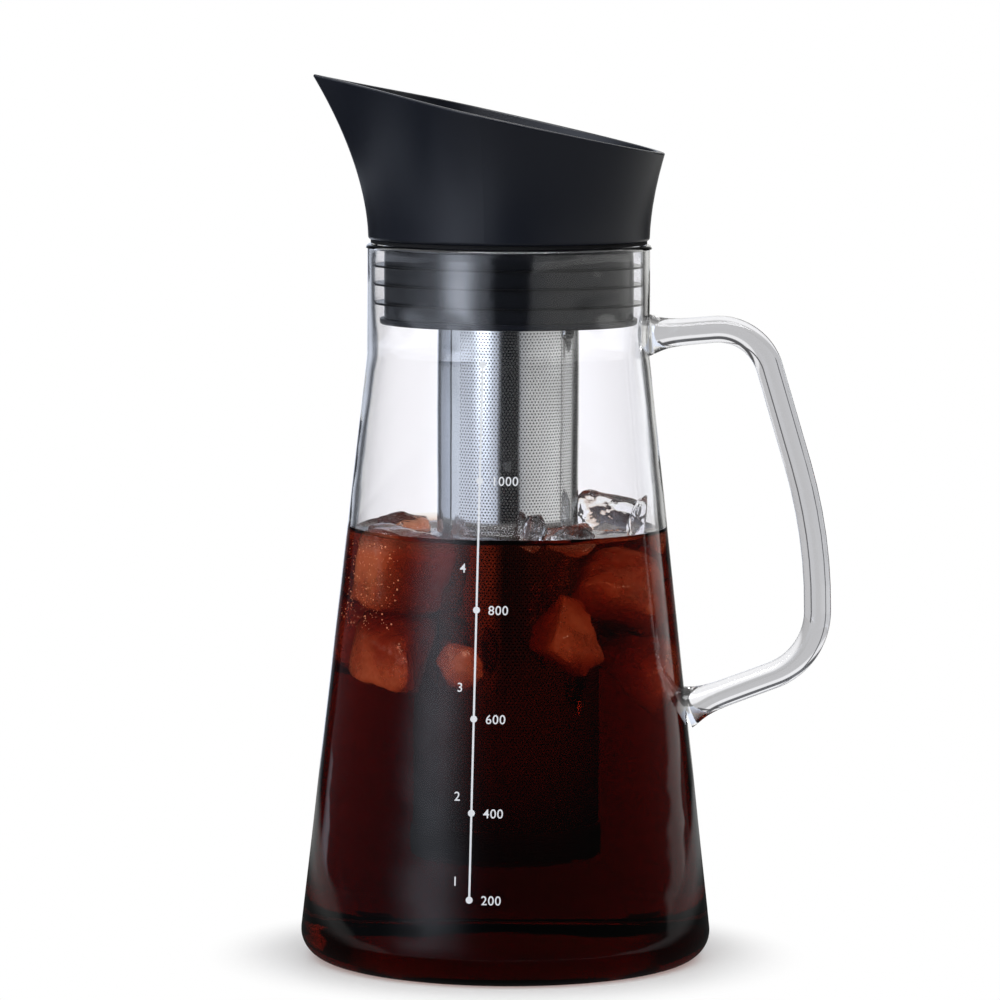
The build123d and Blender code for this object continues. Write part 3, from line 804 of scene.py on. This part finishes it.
def floor(size=0.6, fade=(0.057, 0.086), painted_light_under_pot=0.28, dark=0.03, grey=0.27):
    """A pale floor that keeps the object's shadow and runs out into the white background. Seen straight through
    the glass it glows white in part even in the shadow under the pot, a painted light, and seen through one rod
    alone it glows grey further out, a painted shade.
    Reflections show it dark near the object and grey further out. Beyond that they pass it and show the world
    below the horizon."""
    bm = bmesh.new()
    bmesh.ops.create_circle(bm, cap_ends=True, segments=96, radius=size)
    mesh = bpy.data.meshes.new("floor")
    bm.to_mesh(mesh)
    bm.free()
    material, g = new_material("pale_floor")
    away = g.add("VectorMath", {0: g.position()}, operation="LENGTH").outputs["Value"]
    grain = g.noise(400.0, detail=2.0)
    colour = g.mix(grain, (0.87, 0.87, 0.87, 1), (0.90, 0.90, 0.90, 1))
    inputs = {"Base Color": colour, "Roughness": 0.6, "Specular IOR Level": 0.2}
    lit = g.add("BsdfPrincipled", inputs).outputs[0]
    path, through = seen_directly(g)
    rod = g.math("MULTIPLY", through, g.math("LESS_THAN", path["Transmission Depth"], one_wall))
    # painted shade: seen through one rod alone, the floor glows paler near the object and grey further out
    rod_grey = g.mix(g.between(away, 0.24, 0.34), (0.92, 0.92, 0.94, 1), (0.50, 0.50, 0.51, 1))
    white = g.add("Emission", {"Color": g.mix(rod, WHITE, rod_grey)}).outputs[0]
    faded = g.between(away, *fade)
    # painted light: rays seen through the glass get part of the white glow even in the shadow under the pot
    behind = g.math("MULTIPLY", g.math("MAXIMUM", faded, painted_light_under_pot), through)
    share = g.math("MAXIMUM", g.math("MULTIPLY", faded, path["Is Camera Ray"]), behind)
    surface = g.add("MixShader", {0: share, 1: lit, 2: white}).outputs[0]
    reflected = g.math("GREATER_THAN", path["Glossy Depth"], 0.5)
    level = g.math("MULTIPLY_ADD", g.between(away, 0.16, 0.30), grey - dark, dark)
    shade = g.add("Emission", {"Color": WHITE, "Strength": level}).outputs[0]
    passed = g.add("BsdfTransparent").outputs[0]
    mirrored = g.add("MixShader", {0: g.between(away, 0.38, 0.50), 1: shade, 2: passed}).outputs[0]
    g.finish(g.add("MixShader", {0: reflected, 1: surface, 2: mirrored}).outputs[0])
    mesh.materials.append(material)
    plane = bpy.data.objects.new("floor", mesh)
    scene.collection.objects.link(plane)


def studio():
    """World: white where the camera sees it, with narrow dark flags that only clear things show, and an even
    grey for bounced light. Reflections show a studio: softboxes, a ceiling, and walls that are grey by direction.
    front is in degrees from the photograph's side towards the handle, and z is the sine of the elevation."""
    world = bpy.data.worlds.new("studio")
    scene.world = world
    world.use_nodes = True
    world.cycles.sampling_method = "NONE"
    g = Graph(world.node_tree)
    x, y, z = g.add("SeparateXYZ", {0: g.add("TexCoord").outputs["Generated"]}).outputs
    front = g.math("MULTIPLY", g.math("ARCTAN2", x, g.math("MULTIPLY", y, -1.0)), 180 / pi)
    turn = g.math("MULTIPLY_ADD", front, 1 / 360, 0.5)

    def around(*stops):
        """A grey level by direction, from (degrees from the front, level) stops."""
        return g.ramp(turn, [(degrees / 360 + 0.5, level) for degrees, level in stops])

    # the walls from far below the horizon up to it, as the lid, the steel and the seal show them
    deep = around(
        (-180, 0.9), (-158, 0.8), (-145, 0.15), (-75, 0.05), (-50, 0.15), (-35, 0.85), (-16, 1.2), (-3, 0.20),
        (12, 0.17), (50, 0.18), (100, 0.30), (150, 0.50), (162, 0.7), (180, 0.9),
    )
    ground = around(
        (-180, 1.2), (-158, 1.2), (-148, 0.60), (-126, 0.02), (-95, 0.04), (-52, 1.25), (-22, 0.95), (-6, 0.05),
        (25, 0.07), (60, 0.24), (110, 0.42), (150, 0.42), (162, 0.7), (180, 0.9),
    )
    low = around(
        (-180, 0.95), (-163, 0.9), (-154, 0.10), (-143, 0.05), (-136, 0.50), (-110, 0.80), (-80, 1.0),
        (-30, 1.0), (-18, 0.85), (-14, 0.01), (18, 0.01), (21, 0.60), (35, 0.80), (80, 1.1), (124, 0.8),
        (134, 0.05), (152, 0.10), (162, 0.9), (180, 0.95),
    )
    mid = around(
        (-180, 0.95), (-163, 0.9), (-154, 0.10), (-118, 0.04), (-100, 0.10), (-82, 0.34), (-60, 0.70),
        (-38, 1.0), (-18, 0.55), (-10, 0.02), (15, 0.02), (19, 0.30), (35, 0.42), (80, 0.38), (122, 0.40),
        (139, 0.70), (142, 0.05), (152, 0.10), (162, 0.9), (180, 0.95),
    )
    high = around(
        (-180, 0.95), (-163, 0.9), (-154, 0.08), (-110, 0.05), (-60, 0.08), (0, 0.03), (90, 0.04), (119, 0.06),
        (124, 0.42), (132, 0.70), (139, 1.15), (142, 0.05), (153, 0.08), (162, 0.9), (180, 0.95),
    )
    walls = deep
    for band, low_edge, high_edge in (
        (ground, -0.42, -0.34), (low, -0.15, -0.115), (mid, -0.068, -0.062), (high, -0.042, -0.030),
    ):
        walls = g.mix(g.between(z, low_edge, high_edge), walls, band)
    # what the outside of the glass mirrors at its edges is dark almost to the rim
    path, through = seen_directly(g)
    side = g.math("ABSOLUTE", front)
    rim = g.math("MULTIPLY", g.between(side, 140.0, 144.0), g.between(side, 172.0, 165.0))
    rim = g.math("MULTIPLY", rim, g.between(z, -0.16, -0.12))
    rim = g.math("MULTIPLY", rim, g.math("LESS_THAN", path["Transmission Depth"], 0.5))
    walls = g.mix(g.math("MULTIPLY", rim, 0.88), walls, (0, 0, 0, 1))

    def glow(centre, width, middle, rise, level):
        """A softbox as reflections show it, bright in the middle and soft at its edges."""
        across = g.math("ABSOLUTE", g.math("DIVIDE", g.math("SUBTRACT", front, centre), width))
        up = g.math("ABSOLUTE", g.math("DIVIDE", g.math("SUBTRACT", z, middle), rise))
        spread = g.math("ADD", g.math("POWER", across, 2.4), g.math("POWER", up, 4.0))
        return g.math("MULTIPLY", g.math("EXPONENT", g.math("MULTIPLY", spread, -1.0)), level)

    softboxes = glow(-46.0, 17.0, 0.135, 0.115, 1.25)
    for box in ((-42.0, 13.0, -0.052, 0.018, 3.2), (-62.0, 50.0, 0.46, 0.16, 2.2)):
        softboxes = g.math("ADD", softboxes, glow(*box))
    walls = g.add("MixRGB", {0: 1.0, 1: walls, 2: softboxes}, blend_type="ADD").outputs[0]
    tint = g.mix(g.between(front, -20.0, 45.0), (0.90, 0.97, 1.12, 1), (1.0, 1.0, 0.98, 1))
    walls = g.add("MixRGB", {0: 1.0, 1: walls, 2: tint}, blend_type="MULTIPLY").outputs[0]
    strip = g.math("MULTIPLY", g.between(z, 0.76, 0.80), g.between(z, 0.97, 0.93))
    strip = g.math("MULTIPLY", strip, g.between(side, 80.0, 55.0))
    ceiling = g.mix(strip, (1.2, 1.2, 1.2, 1), (9.0, 9.0, 9.2, 1))
    studio_light = g.mix(g.between(z, 0.55, 0.75), walls, ceiling)
    # what clear things show: white straight behind, and narrow dark flags between the eight directions that a
    # view may look along. A ray that only goes through a rod or along a wall shows a greyer room.
    within = g.math("MULTIPLY", g.math("FRACT", g.math("DIVIDE", front, flag_step)), flag_step)
    off_flag = g.math("ABSOLUTE", g.math("SUBTRACT", within, flag_middle))
    tent = g.mix(g.between(off_flag, 3.6, 5.4), dark_flag, bright_tent)
    room = g.mix(g.between(z, 0.10, 0.16), (0.54, 0.54, 0.555, 1), (0.88, 0.88, 0.90, 1))
    room = g.mix(g.between(z, 0.26, 0.33), room, dark_flag)
    room = g.mix(g.between(z, 0.48, 0.54), room, (0.95, 0.95, 0.97, 1))
    room = g.mix(g.between(off_flag, 1.2, 3.0), (0.12, 0.12, 0.125, 1), room)
    tent = g.mix(g.math("GREATER_THAN", path["Transmission Depth"], one_wall), room, tent)
    light = g.mix(g.math("GREATER_THAN", path["Diffuse Depth"], 0.5), studio_light, (0.62, 0.62, 0.62, 1))
    light = g.mix(through, light, tent)
    light = g.mix(path["Is Camera Ray"], light, WHITE)
    background = g.add("Background", {"Color": light, "Strength": 1.0}).outputs[0]
    g.add("OutputWorld", {"Surface": background})


def softbox(name, azimuth, elevation, distance, width, height, power, aim_z=0.12):
    """A rectangular lamp that looks at the object. azimuth is in degrees from the front towards the handle."""
    lamp = bpy.data.lights.new(name, "AREA")
    lamp.shape = "RECTANGLE"
    lamp.size, lamp.size_y = width, height
    lamp.energy = power
    aim = Vector((0, 0, aim_z))
    rise = distance * sin(radians(elevation))
    place = aim + Vector(on_ring(azimuth, distance * cos(radians(elevation)), rise))
    turn = (aim - place).to_track_quat("-Z", "Y").to_matrix().to_4x4()
    obj = bpy.data.objects.new(name, lamp)
    scene.collection.objects.link(obj)
    obj.matrix_world = Matrix.Translation(place) @ turn
    obj.visible_camera = False
    obj.visible_glossy = False
    obj.visible_transmission = False


def camera(distance=1.55, height=0.275, pitch=5.388, yaw=0.079, roll=0.3, lens=199.9):
    """The photograph's viewpoint: a long lens a little higher than the lid, looking slightly down."""
    data = bpy.data.cameras.new("camera")
    data.sensor_width = 36.0
    data.lens = lens
    obj = bpy.data.objects.new("camera", data)
    scene.collection.objects.link(obj)
    place = Matrix.Translation((0, -distance, height))
    turn = Matrix.Rotation(radians(yaw), 4, "Z") @ Matrix.Rotation(radians(90 - pitch), 4, "X")
    obj.matrix_world = place @ turn @ Matrix.Rotation(radians(roll), 4, "Z")
    scene.camera = obj


camera()
studio()
floor()
softbox("key", azimuth=-31, elevation=6, distance=1.3, width=0.72, height=1.25, power=9.0)
softbox("top", azimuth=10, elevation=78, distance=1.1, width=0.7, height=0.7, power=5.0)
softbox("fill", azimuth=70, elevation=14, distance=1.6, width=1.2, height=1.2, power=3.0)

clear_glass = glass_material()
carafe_glass(clear_glass, wetted_material())
handle_glass(clear_glass)
coffee_and_ice(coffee_material(), ice_material())
bubbles(bubble_material())
printed_scale(print_material())
dress_nodes()

scene.view_settings.view_transform = "Standard"
scene.cycles.max_bounces = 24
scene.cycles.transmission_bounces = 24
scene.cycles.glossy_bounces = 8
scene.cycles.transparent_max_bounces = 48
